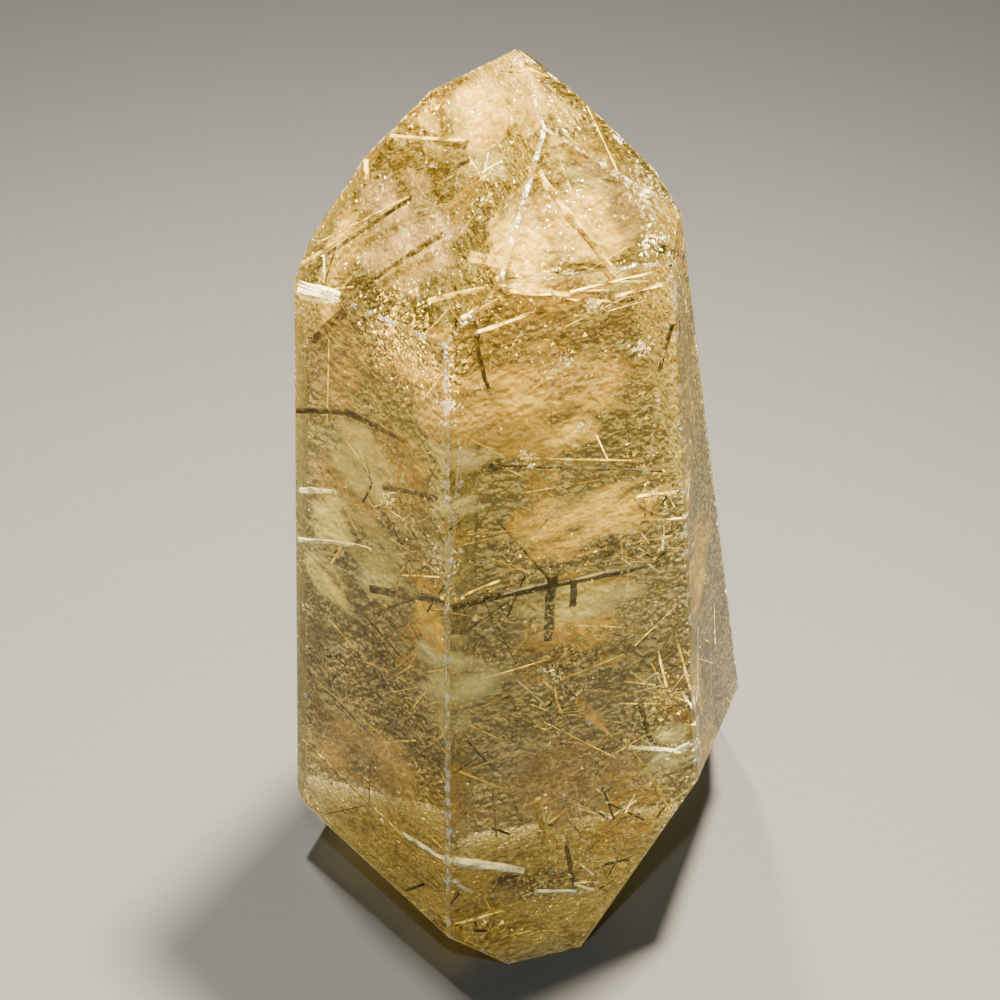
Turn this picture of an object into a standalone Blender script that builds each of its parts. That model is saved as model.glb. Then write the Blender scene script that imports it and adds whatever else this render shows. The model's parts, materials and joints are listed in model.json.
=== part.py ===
"""A rutilated smoky quartz point, ground and polished into a tower that stands on a flat cut base.

One solid. It is cut from a block by its facets, each given by three things: the compass bearing
it faces (0 is the viewer's right, -90 the viewer, 90 the back), its tilt above level, and its
reach, the distance from the heart of the crystal out to the facet. Worn edges, chips and pits
follow. The origin is the middle of the footprint, on the resting plane.
"""

import math
import random

import bmesh
import bpy
from mathutils import Matrix, Vector

MM = 0.001
HEART_HEIGHT = 50.0 * MM
BLOCK_SIZE = 240.0 * MM

# name: bearing in degrees, tilt in degrees, reach in millimetres
PRISM_FACETS = {
    "front_right": (-71.0, 0.0, 19.07),
    "front_left": (-141.0, 0.1, 19.99),
    "right": (-12.0, 2.6, 19.88),
    "back_right": (24.9, 11.0, 17.86),
    "back": (97.0, 0.0, 20.07),
    "back_left": (150.0, 1.1, 18.63),
}
TIP_FACETS = {
    "tip_left": (-155.2, 40.9, 35.86),
    "tip_front": (-65.5, 40.4, 41.41),
    "tip_right": (-3.2, 57.1, 45.90),
    "tip_back_right": (36.9, 29.8, 28.54),
    "tip_back_high": (34.7, 43.2, 37.77),
    "tip_back_low": (138.4, 12.6, 22.15),
    "tip_back_mid": (134.8, 27.9, 30.34),
    "tip_back": (113.7, 39.8, 35.94),
}
FOOT_FACETS = {
    "under_right": (-20.8, -26.0, 33.11),
    "under_left": (-144.6, -46.8, 45.09),
    "foot_corner": (-176.0, -30.0, 41.20),
    "foot_toe": (-71.0, -48.0, 49.70),
    "base": (0.0, -90.0, 50.00),
}

EDGE_WEAR_LEAST = 0.22 * MM
EDGE_WEAR_MOST = 0.50 * MM
SAME_PLANE = 0.99999
WELD = 0.0001 * MM

# the two facets that share the chipped edge, place along it from 0 at its lower end to 1, then
# the bite's length along the edge, its radius across the edge and its depth, in millimetres
CHIPS = (
    ("front_left", "front_right", 0.925, 2.6, 1.3, 0.35),
    ("front_left", "front_right", 0.975, 1.8, 1.0, 0.30),
    ("front_left", "front_right", 0.615, 1.5, 0.7, 0.18),
    ("front_left", "front_right", 0.090, 1.2, 0.7, 0.20),
    ("tip_left", "front_right", 0.450, 2.2, 0.9, 0.25),
    ("tip_left", "tip_back_mid", 0.450, 1.9, 1.1, 0.45),
    ("tip_left", "tip_back", 0.700, 1.2, 0.8, 0.25),
    ("tip_right", "tip_back_right", 0.550, 1.6, 0.9, 0.30),
    ("tip_right", "tip_front", 0.500, 1.5, 0.8, 0.22),
    ("tip_right", "tip_left", 0.400, 1.4, 0.7, 0.20),
    ("right", "back_right", 0.060, 1.3, 0.9, 0.30),
    ("right", "back_right", 0.420, 1.6, 0.8, 0.25),
    ("right", "back_right", 0.730, 1.1, 0.8, 0.22),
    ("front_left", "back_left", 0.300, 1.4, 0.8, 0.25),
    ("front_left", "under_left", 0.300, 1.5, 0.8, 0.25),
    ("front_left", "under_left", 0.700, 1.1, 0.7, 0.20),
    ("front_right", "under_left", 0.400, 1.3, 0.8, 0.25),
    ("front_right", "under_right", 0.350, 1.0, 0.6, 0.15),
    ("back_left", "back", 0.500, 2.4, 1.1, 0.40),
    ("back", "back_right", 0.350, 2.0, 1.0, 0.35),
    ("front_left", "tip_left", 0.350, 1.5, 0.8, 0.22),
)

# the pitted facet, distance to the right of and above the middle of the facet, width, all in
# millimetres
PITS = (
    ("front_left", -9.0, -14.0, 1.1),
    ("front_left", -3.0, 24.0, 0.8),
    ("front_left", 6.5, -3.5, 0.9),
    ("front_right", -9.5, 30.0, 0.9),
    ("front_right", 4.0, -6.0, 0.8),
    ("front_right", 10.0, 22.0, 1.0),
    ("tip_left", 3.0, 2.0, 0.9),
    ("tip_front", 5.0, 1.5, 0.9),
    ("right", 2.0, 10.0, 0.8),
    ("back", -4.0, 8.0, 1.2),
    ("back", 8.0, -20.0, 1.0),
    ("back_left", 2.0, 14.0, 1.0),
)
PIT_DEPTH_SHARE = 0.16
CHIP_SEED = 11
PIT_SEED = 23
WEAR_SEED = 5
BITE_SUBDIVISIONS = 3
BITE_ROUGHNESS = 0.10

SMOKY_COLOUR = (0.50, 0.40, 0.22, 1.0)
QUARTZ_IOR = 1.544
POLISH_ROUGHNESS = 0.04


def clear_scene():
    for old in list(bpy.data.objects):
        bpy.data.objects.remove(old, do_unlink=True)
    for old in list(bpy.data.meshes):
        bpy.data.meshes.remove(old)


def outward(bearing, tilt):
    """The unit normal of a facet that faces this bearing and is tilted up by this much."""
    around = math.radians(bearing)
    rise = math.radians(tilt)
    level = math.cos(rise)
    return Vector((level * math.cos(around), level * math.sin(around), math.sin(rise)))


def cut_facet(crystal, normal, reach):
    """Takes away all that lies beyond one facet, and closes the cut with that facet."""
    heart = Vector((0.0, 0.0, HEART_HEIGHT))
    everything = crystal.verts[:] + crystal.edges[:] + crystal.faces[:]
    cut = bmesh.ops.bisect_plane(
        crystal,
        geom=everything,
        dist=WELD,
        plane_co=heart + normal * reach,
        plane_no=normal,
        clear_outer=True,
    )
    rim = [item for item in cut["geom_cut"] if isinstance(item, bmesh.types.BMEdge)]
    bmesh.ops.contextual_create(crystal, geom=rim)


def cut_crystal(facets):
    crystal = bmesh.new()
    bmesh.ops.create_cube(crystal, size=BLOCK_SIZE)
    for bearing, tilt, reach in facets.values():
        cut_facet(crystal, outward(bearing, tilt), reach * MM)
    bmesh.ops.recalc_face_normals(crystal, faces=crystal.faces[:])
    return crystal


def facet_face(crystal, facets, name):
    bearing, tilt, _reach = facets[name]
    normal = outward(bearing, tilt)
    matching = [face for face in crystal.faces if face.normal.dot(normal) > SAME_PLANE]
    return matching[0]


def shared_edge(crystal, facets, first, second):
    """The lower and upper end of the edge where two facets meet."""
    one = facet_face(crystal, facets, first)
    other = facet_face(crystal, facets, second)
    common = [edge for edge in one.edges if other in edge.link_faces]
    ends = [vertex.co.copy() for vertex in common[0].verts]
    ends.sort(key=lambda point: point.z)
    return ends, (one.normal + other.normal).normalized()


def bite(cutters, middle, along, out, half_length, radius, chance):
    """Adds one shell-shaped bite, a lumpy ball stretched along one way, to the cutter mesh."""
    ball = bmesh.ops.create_icosphere(cutters, subdivisions=BITE_SUBDIVISIONS, radius=1.0)
    side = out.cross(along).normalized()
    forward = side.cross(out).normalized()
    turn = Matrix((forward, side, out)).transposed()
    for vertex in ball["verts"]:
        lump = 1.0 + BITE_ROUGHNESS * chance.uniform(-1.0, 1.0)
        shaped = Vector((vertex.co.x * half_length, vertex.co.y * radius, vertex.co.z * radius))
        vertex.co = middle + turn @ (shaped * lump)


def chip_cutters(crystal, facets):
    """One long bite for each chip along an edge."""
    cutters = bmesh.new()
    chance = random.Random(CHIP_SEED)
    for first, second, place, length, radius, depth in CHIPS:
        (low, high), out = shared_edge(crystal, facets, first, second)
        middle = low.lerp(high, place) + out * (radius - depth) * MM
        bite(cutters, middle, high - low, out, length * MM / 2.0, radius * MM, chance)
    return cutters


def pit_cutters(crystal, facets):
    """One shallow round bite for each pit in a facet."""
    cutters = bmesh.new()
    chance = random.Random(PIT_SEED)
    for name, right, above, width in PITS:
        face = facet_face(crystal, facets, name)
        out = face.normal.copy()
        sideways = Vector((0.0, 0.0, 1.0)).cross(out).normalized()
        upward = out.cross(sideways)
        radius = width * MM / 2.0
        middle = face.calc_center_median() + sideways * right * MM + upward * above * MM
        middle += out * radius * (1.0 - 2.0 * PIT_DEPTH_SHARE)
        bite(cutters, middle, upward, out, radius, radius, chance)
    return cutters


def wear_edges(crystal):
    """Rubs every sharp edge down to a narrow flat that leans evenly between its two facets."""
    chance = random.Random(WEAR_SEED)
    heart = Vector((0.0, 0.0, HEART_HEIGHT))
    flats = []
    for edge in crystal.edges:
        out = (edge.link_faces[0].normal + edge.link_faces[1].normal).normalized()
        half_turn = edge.calc_face_angle() / 2.0
        width = chance.uniform(EDGE_WEAR_LEAST, EDGE_WEAR_MOST)
        depth = width / 2.0 * math.tan(half_turn)
        flats.append((out, (edge.verts[0].co - heart).dot(out) - depth))
    for out, reach in flats:
        cut_facet(crystal, out, reach)


def to_footprint_middle(meshes, around):
    """Moves the crystal and its cutters so that the origin is the middle of the footprint."""
    across = [vertex.co.x for vertex in around.verts]
    deep = [vertex.co.y for vertex in around.verts]
    floor = min(vertex.co.z for vertex in around.verts)
    middle = Vector(((min(across) + max(across)) / 2, (min(deep) + max(deep)) / 2, floor))
    for mesh in meshes:
        bmesh.ops.translate(mesh, verts=mesh.verts[:], vec=-middle)


def object_from(mesh, name):
    data = bpy.data.meshes.new(name)
    mesh.to_mesh(data)
    mesh.free()
    made = bpy.data.objects.new(name, data)
    bpy.context.scene.collection.objects.link(made)
    return made


def smoky_quartz():
    material = bpy.data.materials.new("smoky_quartz")
    material.use_nodes = True
    surface = material.node_tree.nodes["Principled BSDF"]
    surface.inputs["Base Color"].default_value = SMOKY_COLOUR
    surface.inputs["Roughness"].default_value = POLISH_ROUGHNESS
    surface.inputs["IOR"].default_value = QUARTZ_IOR
    surface.inputs["Transmission Weight"].default_value = 1.0
    return material


def bite_off(quartz, cutters, name):
    """Takes the bites in one cutter mesh out of the crystal."""
    bites = object_from(cutters, name)
    bites.hide_render = True
    bites.display_type = "WIRE"
    cutting = quartz.modifiers.new(name, "BOOLEAN")
    cutting.operation = "DIFFERENCE"
    cutting.solver = "EXACT"
    cutting.object = bites


def main():
    clear_scene()
    facets = {**PRISM_FACETS, **TIP_FACETS, **FOOT_FACETS}
    crystal = cut_crystal(facets)
    chips = chip_cutters(crystal, facets)
    pits = pit_cutters(crystal, facets)
    wear_edges(crystal)
    bmesh.ops.recalc_face_normals(crystal, faces=crystal.faces[:])
    to_footprint_middle((crystal, chips, pits), crystal)
    quartz = object_from(crystal, "quartz_crystal")
    quartz.data.materials.append(smoky_quartz())
    bite_off(quartz, chips, "chip_cutters")
    bite_off(quartz, pits, "pit_cutters")


main()
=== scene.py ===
# %% [markdown]
# # A rutilated smoky quartz tower
#
# The real thing is one quartz crystal, ground and polished into a six-sided tower that stands on
# its own flat base. The looks come from four things: the flat polished facets, the worn and
# chipped edges between them, the faint smoky colour, and all that grew inside the stone, which
# is dark and golden needles, glittering flecks and milky veils. Each gets its own cells here.
#
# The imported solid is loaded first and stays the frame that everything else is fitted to.

import json
import math
import random

import bmesh
import bpy
from mathutils import Matrix, Vector, noise
from mathutils.bvhtree import BVHTree

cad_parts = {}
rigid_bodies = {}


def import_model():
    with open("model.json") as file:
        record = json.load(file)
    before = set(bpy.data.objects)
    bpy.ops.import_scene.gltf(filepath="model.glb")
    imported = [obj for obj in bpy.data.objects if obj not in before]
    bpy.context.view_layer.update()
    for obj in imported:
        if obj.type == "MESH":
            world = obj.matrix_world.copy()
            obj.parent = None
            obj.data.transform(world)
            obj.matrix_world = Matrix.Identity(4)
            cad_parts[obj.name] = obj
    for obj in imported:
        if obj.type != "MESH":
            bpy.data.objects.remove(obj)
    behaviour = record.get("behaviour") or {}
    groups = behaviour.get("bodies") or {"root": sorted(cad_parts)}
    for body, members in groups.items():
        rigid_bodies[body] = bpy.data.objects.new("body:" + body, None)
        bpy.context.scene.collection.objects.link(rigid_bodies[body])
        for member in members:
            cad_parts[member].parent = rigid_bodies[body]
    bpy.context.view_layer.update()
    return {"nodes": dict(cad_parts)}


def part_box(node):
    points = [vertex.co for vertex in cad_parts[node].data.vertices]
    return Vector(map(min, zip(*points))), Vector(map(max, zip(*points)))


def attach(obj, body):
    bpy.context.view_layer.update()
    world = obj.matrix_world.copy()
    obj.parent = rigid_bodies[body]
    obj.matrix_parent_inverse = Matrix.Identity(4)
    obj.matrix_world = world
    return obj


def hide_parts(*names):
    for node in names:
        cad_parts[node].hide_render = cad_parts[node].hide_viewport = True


for old in list(bpy.data.objects):
    bpy.data.objects.remove(old, do_unlink=True)
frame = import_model()
solid = frame["nodes"]["quartz_crystal"]
LOW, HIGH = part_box("quartz_crystal")
MM = 0.001
print("crystal is", [round((HIGH[i] - LOW[i]) / MM, 1) for i in range(3)], "mm")

# %% [markdown]
# ## A small language for shaders
#
# A finish is a graph of nodes, and a graph is easiest to read as sums. `Value` wraps one output
# socket, so that `1 - worn * 0.4` adds the Math nodes it needs. Every other node comes from
# `Finish.node`, which takes the node's type, its settings and its sockets.

# %% Wrap sockets, so that finishes are written as expressions
class Value:
    def __init__(self, finish, socket):
        self.finish = finish
        self.socket = socket

    def math(self, operation, *terms):
        return self.finish.node("ShaderNodeMath", {"operation": operation}, terms)

    def __add__(self, other):
        return self.math("ADD", self, other)

    def __sub__(self, other):
        return self.math("SUBTRACT", self, other)

    def __rsub__(self, other):
        return self.math("SUBTRACT", other, self)

    def __mul__(self, other):
        return self.math("MULTIPLY", self, other)

    __radd__ = __add__
    __rmul__ = __mul__


class Finish:
    def __init__(self, name):
        self.material = bpy.data.materials.new(name)
        self.material.use_nodes = True
        self.tree = self.material.node_tree
        self.tree.nodes.clear()

    def node(self, kind, settings=None, sockets=(), output=0):
        made = self.tree.nodes.new(kind)
        for key, value in (settings or {}).items():
            if key == "stops":
                set_stops(made.color_ramp, value)
            else:
                setattr(made, key, value)
        pairs = sockets.items() if isinstance(sockets, dict) else enumerate(sockets)
        for key, value in pairs:
            if isinstance(value, Value):
                self.tree.links.new(value.socket, made.inputs[key])
            else:
                made.inputs[key].default_value = value
        return Value(self, made.outputs[output]) if made.outputs else None

    def place(self):
        return self.node("ShaderNodeTexCoord", output="Object")

    def cloudiness(self, scale, detail=3.0, stretch=(1.0, 1.0, 1.0)):
        spread = self.node("ShaderNodeMapping", {}, {"Vector": self.place(), "Scale": stretch})
        return self.node(
            "ShaderNodeTexNoise", {}, {"Vector": spread, "Scale": scale, "Detail": detail}
        )

    def ramp(self, value, *stops):
        return self.node("ShaderNodeValToRGB", {"stops": stops}, [value])

    def blend(self, share, first, second):
        sockets = {0: share, 6: first, 7: second}
        return self.node("ShaderNodeMix", {"data_type": "RGBA"}, sockets, output=2)

    def bump(self, height, strength, distance):
        sockets = {"Height": height, "Strength": strength, "Distance": distance}
        return self.node("ShaderNodeBump", {}, sockets)

    def surface(self, shader, volume=None):
        sockets = {"Surface": shader}
        if volume is not None:
            sockets["Volume"] = volume
        self.node("ShaderNodeOutputMaterial", {}, sockets)
        return self.material


def set_stops(ramp, stops):
    """Gives a colour ramp these (place, colour) stops."""
    while len(ramp.elements) > len(stops):
        ramp.elements.remove(ramp.elements[-1])
    while len(ramp.elements) < len(stops):
        ramp.elements.new(1.0)
    for element, (place, colour) in zip(ramp.elements, stops):
        element.position = place
        element.color = colour


print("shader words:", "node, cloudiness, ramp, blend, bump, surface")

# %% [markdown]
# ## The stone's own shape
#
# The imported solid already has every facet, chip and pit, but as loose triangles. A copy of it is
# welded and its flat triangles are joined back into facets, which gives a clean stone to wear
# down further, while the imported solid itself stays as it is.

# %% Copy the stone and weld it into whole facets
WELD = 0.001 * MM
FLAT = math.radians(0.3)
stone = bmesh.new()
stone.from_mesh(solid.data)
bmesh.ops.remove_doubles(stone, verts=stone.verts[:], dist=WELD)
bmesh.ops.dissolve_limit(
    stone,
    angle_limit=FLAT,
    use_dissolve_boundaries=False,
    verts=stone.verts[:],
    edges=stone.edges[:],
)
bmesh.ops.recalc_face_normals(stone, faces=stone.faces[:])
stone_tree = BVHTree.FromBMesh(stone)
print("stone has", len(stone.faces), "faces")

# %% [markdown]
# A polished facet is broad and a worn edge is narrow, so a face's area for its outline tells
# them apart. The planes of the broad faces are remembered, to tell later what is still polished,
# and so are the long narrow faces, because nicks and crumbs belong there.

# %% Find the worn edges
BROAD = 0.4 * MM
LEAST_LINE = 2.5 * MM


def is_polished(face):
    return face.calc_area() / face.calc_perimeter() > BROAD


def edge_line(face):
    """The two ends of a long narrow face, down its middle."""
    longest = max(face.edges, key=lambda edge: edge.calc_length())
    start, end = [vertex.co.copy() for vertex in longest.verts]
    return start, end, face.normal.copy()


worn_lines = []
facets = []
for face in stone.faces:
    start, end, out = edge_line(face)
    if is_polished(face):
        facets.append((out, out.dot(face.verts[0].co)))
    elif (end - start).length > LEAST_LINE:
        worn_lines.append((start, end, out))
print(len(facets), "facets and", len(worn_lines), "worn edges")

# %% [markdown]
# ## Many small shapes in one piece
#
# Nicks, needles and flecks are hundreds or thousands of small shapes. A bmesh operator looks
# through the whole mesh that it works in, so each shape is made alone in a small bmesh, and only
# then added to the heap.

# %% Heap up small shapes
class Heap:
    """One mesh that gathers many small ones, and turns them into a piece at the end."""

    def __init__(self):
        self.whole = bmesh.new()

    def add(self, shape):
        """Adds a small bmesh, which is used up."""
        part = bpy.data.meshes.new("part")
        shape.to_mesh(part)
        shape.free()
        self.whole.from_mesh(part)
        bpy.data.meshes.remove(part)

    def add_copy(self, template, place):
        """Adds a copy of a template mesh, put in its place by a matrix."""
        part = template.copy()
        part.transform(place)
        self.whole.from_mesh(part)
        bpy.data.meshes.remove(part)

    def piece(self, name, finish=None):
        print(name, "has", len(self.whole.faces), "faces")
        return piece_from(self.whole, name, finish)


def piece_from(mesh, name, finish=None):
    """Turns a finished bmesh into an object, with its place in its mesh."""
    data = bpy.data.meshes.new(name)
    mesh.to_mesh(data)
    mesh.free()
    made = bpy.data.objects.new(name, data)
    bpy.context.scene.collection.objects.link(made)
    if finish is not None:
        data.materials.append(finish)
    return made


def template_of(shape):
    """A mesh to copy from, made of a small bmesh."""
    template = bpy.data.meshes.new("template")
    shape.to_mesh(template)
    shape.free()
    return template


def random_way(chance):
    return Vector([chance.gauss(0.0, 1.0) for _axis in range(3)]).normalized()


def placed(spot, size, chance):
    """A matrix that turns a shape any way, sizes it and puts it on this spot."""
    turn = random_way(chance).to_track_quat("Z", "Y").to_matrix().to_4x4()
    return Matrix.Translation(spot) @ turn @ Matrix.Diagonal((*size, 1.0))


print("small shapes can be heaped up")

# %% [markdown]
# ## Nicks along the edges
#
# Quartz is hard but brittle, so handling takes little shell-shaped flakes out of its edges. Each
# nick is a small lumpy ball, and one Boolean takes all of them out of the stone at once. Their
# places are random but seeded, closer together on the front ridge, which is the most knocked.

# %% Bite the nicks out of the edges
NICK_SEED = 31
NICK_GAP = 1.9 * MM
RIDGE_GAP = 0.9 * MM
NICK_LEAST = 0.16 * MM
NICK_MOST = 0.55 * MM
NICK_LIFT = (0.45, 0.8)
NICK_LUMPS = (0.75, 1.25)
UPRIGHT = 0.99
RIDGE_FRONT = -19.0 * MM


def on_front_ridge(start, end):
    upright = abs((end - start).normalized().z) > UPRIGHT
    return upright and (start.y + end.y) / 2 < RIDGE_FRONT


def nick_cutters():
    ball = bmesh.new()
    bmesh.ops.create_icosphere(ball, subdivisions=1, radius=1.0)
    template = template_of(ball)
    cutters = Heap()
    chance = random.Random(NICK_SEED)
    for start, end, out in worn_lines:
        gap = RIDGE_GAP if on_front_ridge(start, end) else NICK_GAP
        for _ in range(int((end - start).length / gap)):
            radius = chance.uniform(NICK_LEAST, NICK_MOST)
            middle = start.lerp(end, chance.random()) + out * radius * chance.uniform(*NICK_LIFT)
            lumpy = [radius * chance.uniform(*NICK_LUMPS) for _axis in range(3)]
            cutters.add_copy(template, placed(middle, lumpy, chance))
    return cutters.piece("nick_cutters")


def take_out(target, cutters):
    cutting = target.modifiers.new("nicks", "BOOLEAN")
    cutting.operation = "DIFFERENCE"
    cutting.solver = "EXACT"
    cutting.use_self = True
    cutting.object = cutters
    graph = bpy.context.evaluated_depsgraph_get()
    nicked = bpy.data.meshes.new_from_object(target.evaluated_get(graph))
    target.modifiers.clear()
    target.data = nicked
    bpy.data.objects.remove(cutters, do_unlink=True)


crystal = piece_from(stone, "clear_quartz")
take_out(crystal, nick_cutters())
print("nicked stone has", len(crystal.data.polygons), "faces")

# %% [markdown]
# The finish has to know polished facets from worn ones. That is written on the mesh as an
# attribute, `worn`, which is 0 on a broad facet and 1 on an edge, a nick or a pit.

# %% Mark the worn faces
SAME_WAY = 0.9999
SAME_PLANE = 2 * WELD


def on_a_facet(face):
    """Whether a face is a part of one of the broad facets."""
    spot = face.verts[0].co
    for normal, reach in facets:
        if face.normal.dot(normal) > SAME_WAY and abs(normal.dot(spot) - reach) < SAME_PLANE:
            return True
    return False


def mark_worn(target):
    shape = bmesh.new()
    shape.from_mesh(target.data)
    bmesh.ops.remove_doubles(shape, verts=shape.verts[:], dist=WELD)
    worn = shape.faces.layers.float.new("worn")
    for face in shape.faces:
        face[worn] = 0.0 if on_a_facet(face) else 1.0
        face.smooth = False
    count = sum(face[worn] > 0.5 for face in shape.faces)
    shape.to_mesh(target.data)
    shape.free()
    return count


print(mark_worn(crystal), "worn faces")

# %% [markdown]
# ## Smoky quartz
#
# Quartz bends light a little more than window glass, with an index of refraction of 1.544. Its
# smoke is in the stone and not on it, so the colour is an absorption in the volume. Cloudy and
# glittering films lie right under its polish. Their tone runs from gold in the tip to brown at
# the foot, with dark amber spots, and cloud patterns squeezed through ramps say where it goes.

# %% Mix the tones of the films
QUARTZ_IOR = 1.544
BLACK = (0.0, 0.0, 0.0, 1.0)
WHITE = (1.0, 1.0, 1.0, 1.0)
TIP_TONE = (1.0, 0.68, 0.09, 1.0)
MIDDLE_TONE = (0.93, 0.88, 0.42, 1.0)
FOOT_TONE = (0.50, 0.45, 0.30, 1.0)
AMBER_TONE = (0.085, 0.055, 0.018, 1.0)
SPARK_TONE = (1.0, 0.88, 0.42, 1.0)
SWARM_SCALE = 150.0
DOT_SCALE = 2300.0
WANDER_SCALE = 40.0
WANDER = 0.35
AMBER_SCALE = 130.0
SPOT_SCALE = 900.0
SPOT_LEAST = 0.4
SPOT_SHARE = 0.7


def height_share(finish):
    """How far up the stone a point is, from 0 at the base to 1 at the tip."""
    height = finish.node("ShaderNodeSeparateXYZ", {}, [finish.place()], "Z")
    return height * (1.0 / HIGH.z)


def sparks(finish):
    """Where glittering films lie thick: fine dots in larger swarms."""
    swarms = finish.ramp(finish.cloudiness(SWARM_SCALE, 3.0), (0.42, BLACK), (0.58, WHITE))
    dots = finish.ramp(finish.cloudiness(DOT_SCALE, 1.0), (0.52, BLACK), (0.60, WHITE))
    return swarms * dots


def milk_tone(finish):
    """Gold in the tip, greenish white in the middle and a darker brown at the foot."""
    wander = finish.cloudiness(WANDER_SCALE) - 0.5
    place = height_share(finish) + wander * WANDER
    tone = finish.ramp(place, (0.18, FOOT_TONE), (0.45, MIDDLE_TONE), (0.70, TIP_TONE))
    amber = finish.ramp(finish.cloudiness(AMBER_SCALE, 3.0), (0.40, WHITE), (0.56, BLACK))
    bare = finish.ramp(finish.cloudiness(SPOT_SCALE, 2.0), (0.44, BLACK), (0.56, WHITE))
    spots = (amber * (1.0 - SPOT_LEAST) + SPOT_LEAST) * (1.0 - bare) * SPOT_SHARE
    return finish.blend(sparks(finish), finish.blend(spots, tone, AMBER_TONE), SPARK_TONE)


print("tones run from", FOOT_TONE[:3], "to", TIP_TONE[:3])

# %% [markdown]
# The film is part leaf, which glitters because its bump is crumpled, and part milk, which glows
# when light comes from behind. It is faint on a wall that faces out. On a wall that is seen from
# inside it is thick, so that the table doesn't show through. Crushed quartz in the worn edges,
# the bruises, is whiter and hides more.

# %% Make the film under the polish
BRUISE_TONE = (1.0, 1.0, 0.94, 1.0)
WISP_SCALE = 85.0
WISP_STRETCH = (1.0, 1.0, 1.8)
WISP_MILK = 0.16
SPARK_MILK = 0.35
BRUISE_MILK = 0.75
LEAST_MILK = 0.03
WALL_MILK = 0.85
FINE_CRUMPLE_SCALE = 1300.0
BROAD_CRUMPLE_SCALE = 350.0
BROAD_CRUMPLE = 1.5
CRUMPLE_DEPTH = 1.0 * MM
GLOW_SHARE = 0.45


def milkiness(finish, from_inside, bruise):
    """How much of the light the cloudy quartz right under the polish sends back."""
    wisps = finish.ramp(
        finish.cloudiness(WISP_SCALE, 5.0, WISP_STRETCH), (0.46, BLACK), (0.66, WHITE)
    )
    skin = wisps * WISP_MILK + sparks(finish) * SPARK_MILK + bruise * BRUISE_MILK + LEAST_MILK
    return skin + from_inside * (1.0 - skin) * WALL_MILK


def film(finish, bruise):
    tone = finish.blend(bruise, milk_tone(finish), BRUISE_TONE)
    broad = finish.cloudiness(BROAD_CRUMPLE_SCALE, 1.0) * BROAD_CRUMPLE
    leaf = finish.bump(finish.cloudiness(FINE_CRUMPLE_SCALE, 1.0) + broad, 1.0, CRUMPLE_DEPTH)
    glitter = sparks(finish)
    sockets = {
        "Base Color": tone,
        "Roughness": 0.45 - glitter * 0.2,
        "Metallic": glitter * 0.6 + 0.25,
        "Normal": leaf,
        "Specular IOR Level": 0.3,
        "Coat Weight": 0.3,
        "Coat Roughness": 0.04,
        "Coat IOR": QUARTZ_IOR,
    }
    glittering = finish.node("ShaderNodeBsdfPrincipled", {}, sockets)
    glowing = finish.node("ShaderNodeBsdfTranslucent", {}, {"Color": tone, "Normal": leaf})
    return finish.node("ShaderNodeMixShader", {}, [GLOW_SHARE, glittering, glowing])


print("film hides", WALL_MILK, "of the light on the far walls")

# %% [markdown]
# The polish itself is clear glass, rougher where it is worn. A facet that is seen almost along
# its surface would mirror the table too strongly, so part of the outside is glass that only
# bends light.
#
# Two things then depend on the kind of ray. A lamp's shadow ray doesn't bend, so glass would
# leave all that is inside it dark: a ray that leaves the stone is let through, and one that
# enters it is stopped, which keeps the stone's shadow. And the photograph's shadow is darker
# than the glow of so bright a stone would leave it, so stray light from outside finds a nearly
# black stone: painted shade, which darkens the table round and under the stone.

# %% Make the quartz finish
SMOKE_COLOUR = (0.86, 0.845, 0.76, 1.0)
SMOKE_DENSITY = 170.0
# Painted shade: the nearly black tone that stray light from outside sees on the stone.
SHADOW_DARKENING_TONE = (0.02, 0.02, 0.02, 1.0)
MIRROR_CUT = 0.6
CRUSH_SCALE = 700.0
GRAIN_SCALE = 2600.0
GRAIN_DEPTH = 0.1 * MM
WAVE_SCALE = 160.0
HAZE_SCALE = 90.0
HAZE_ROUGHNESS = 0.05
WORN_ROUGHNESS = 0.38


def polish(finish, worn, from_inside):
    waves = finish.cloudiness(WAVE_SCALE, 1.0) * 0.05
    grain = finish.cloudiness(GRAIN_SCALE, 1.0) * worn + waves
    haze = finish.cloudiness(HAZE_SCALE, 1.0) * HAZE_ROUGHNESS
    bending = {
        "Roughness": haze + worn * WORN_ROUGHNESS,
        "IOR": QUARTZ_IOR,
        "Normal": finish.bump(grain, 0.35, GRAIN_DEPTH),
    }
    glass = {
        **bending,
        "Base Color": WHITE,
        "Transmission Weight": 1.0,
        "Specular IOR Level": 0.12,
    }
    mirroring = finish.node("ShaderNodeBsdfPrincipled", {}, glass)
    only_bending = finish.node("ShaderNodeBsdfRefraction", {}, bending)
    calm = (1.0 - from_inside) * MIRROR_CUT
    return finish.node("ShaderNodeMixShader", {}, [calm, mirroring, only_bending])


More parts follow.
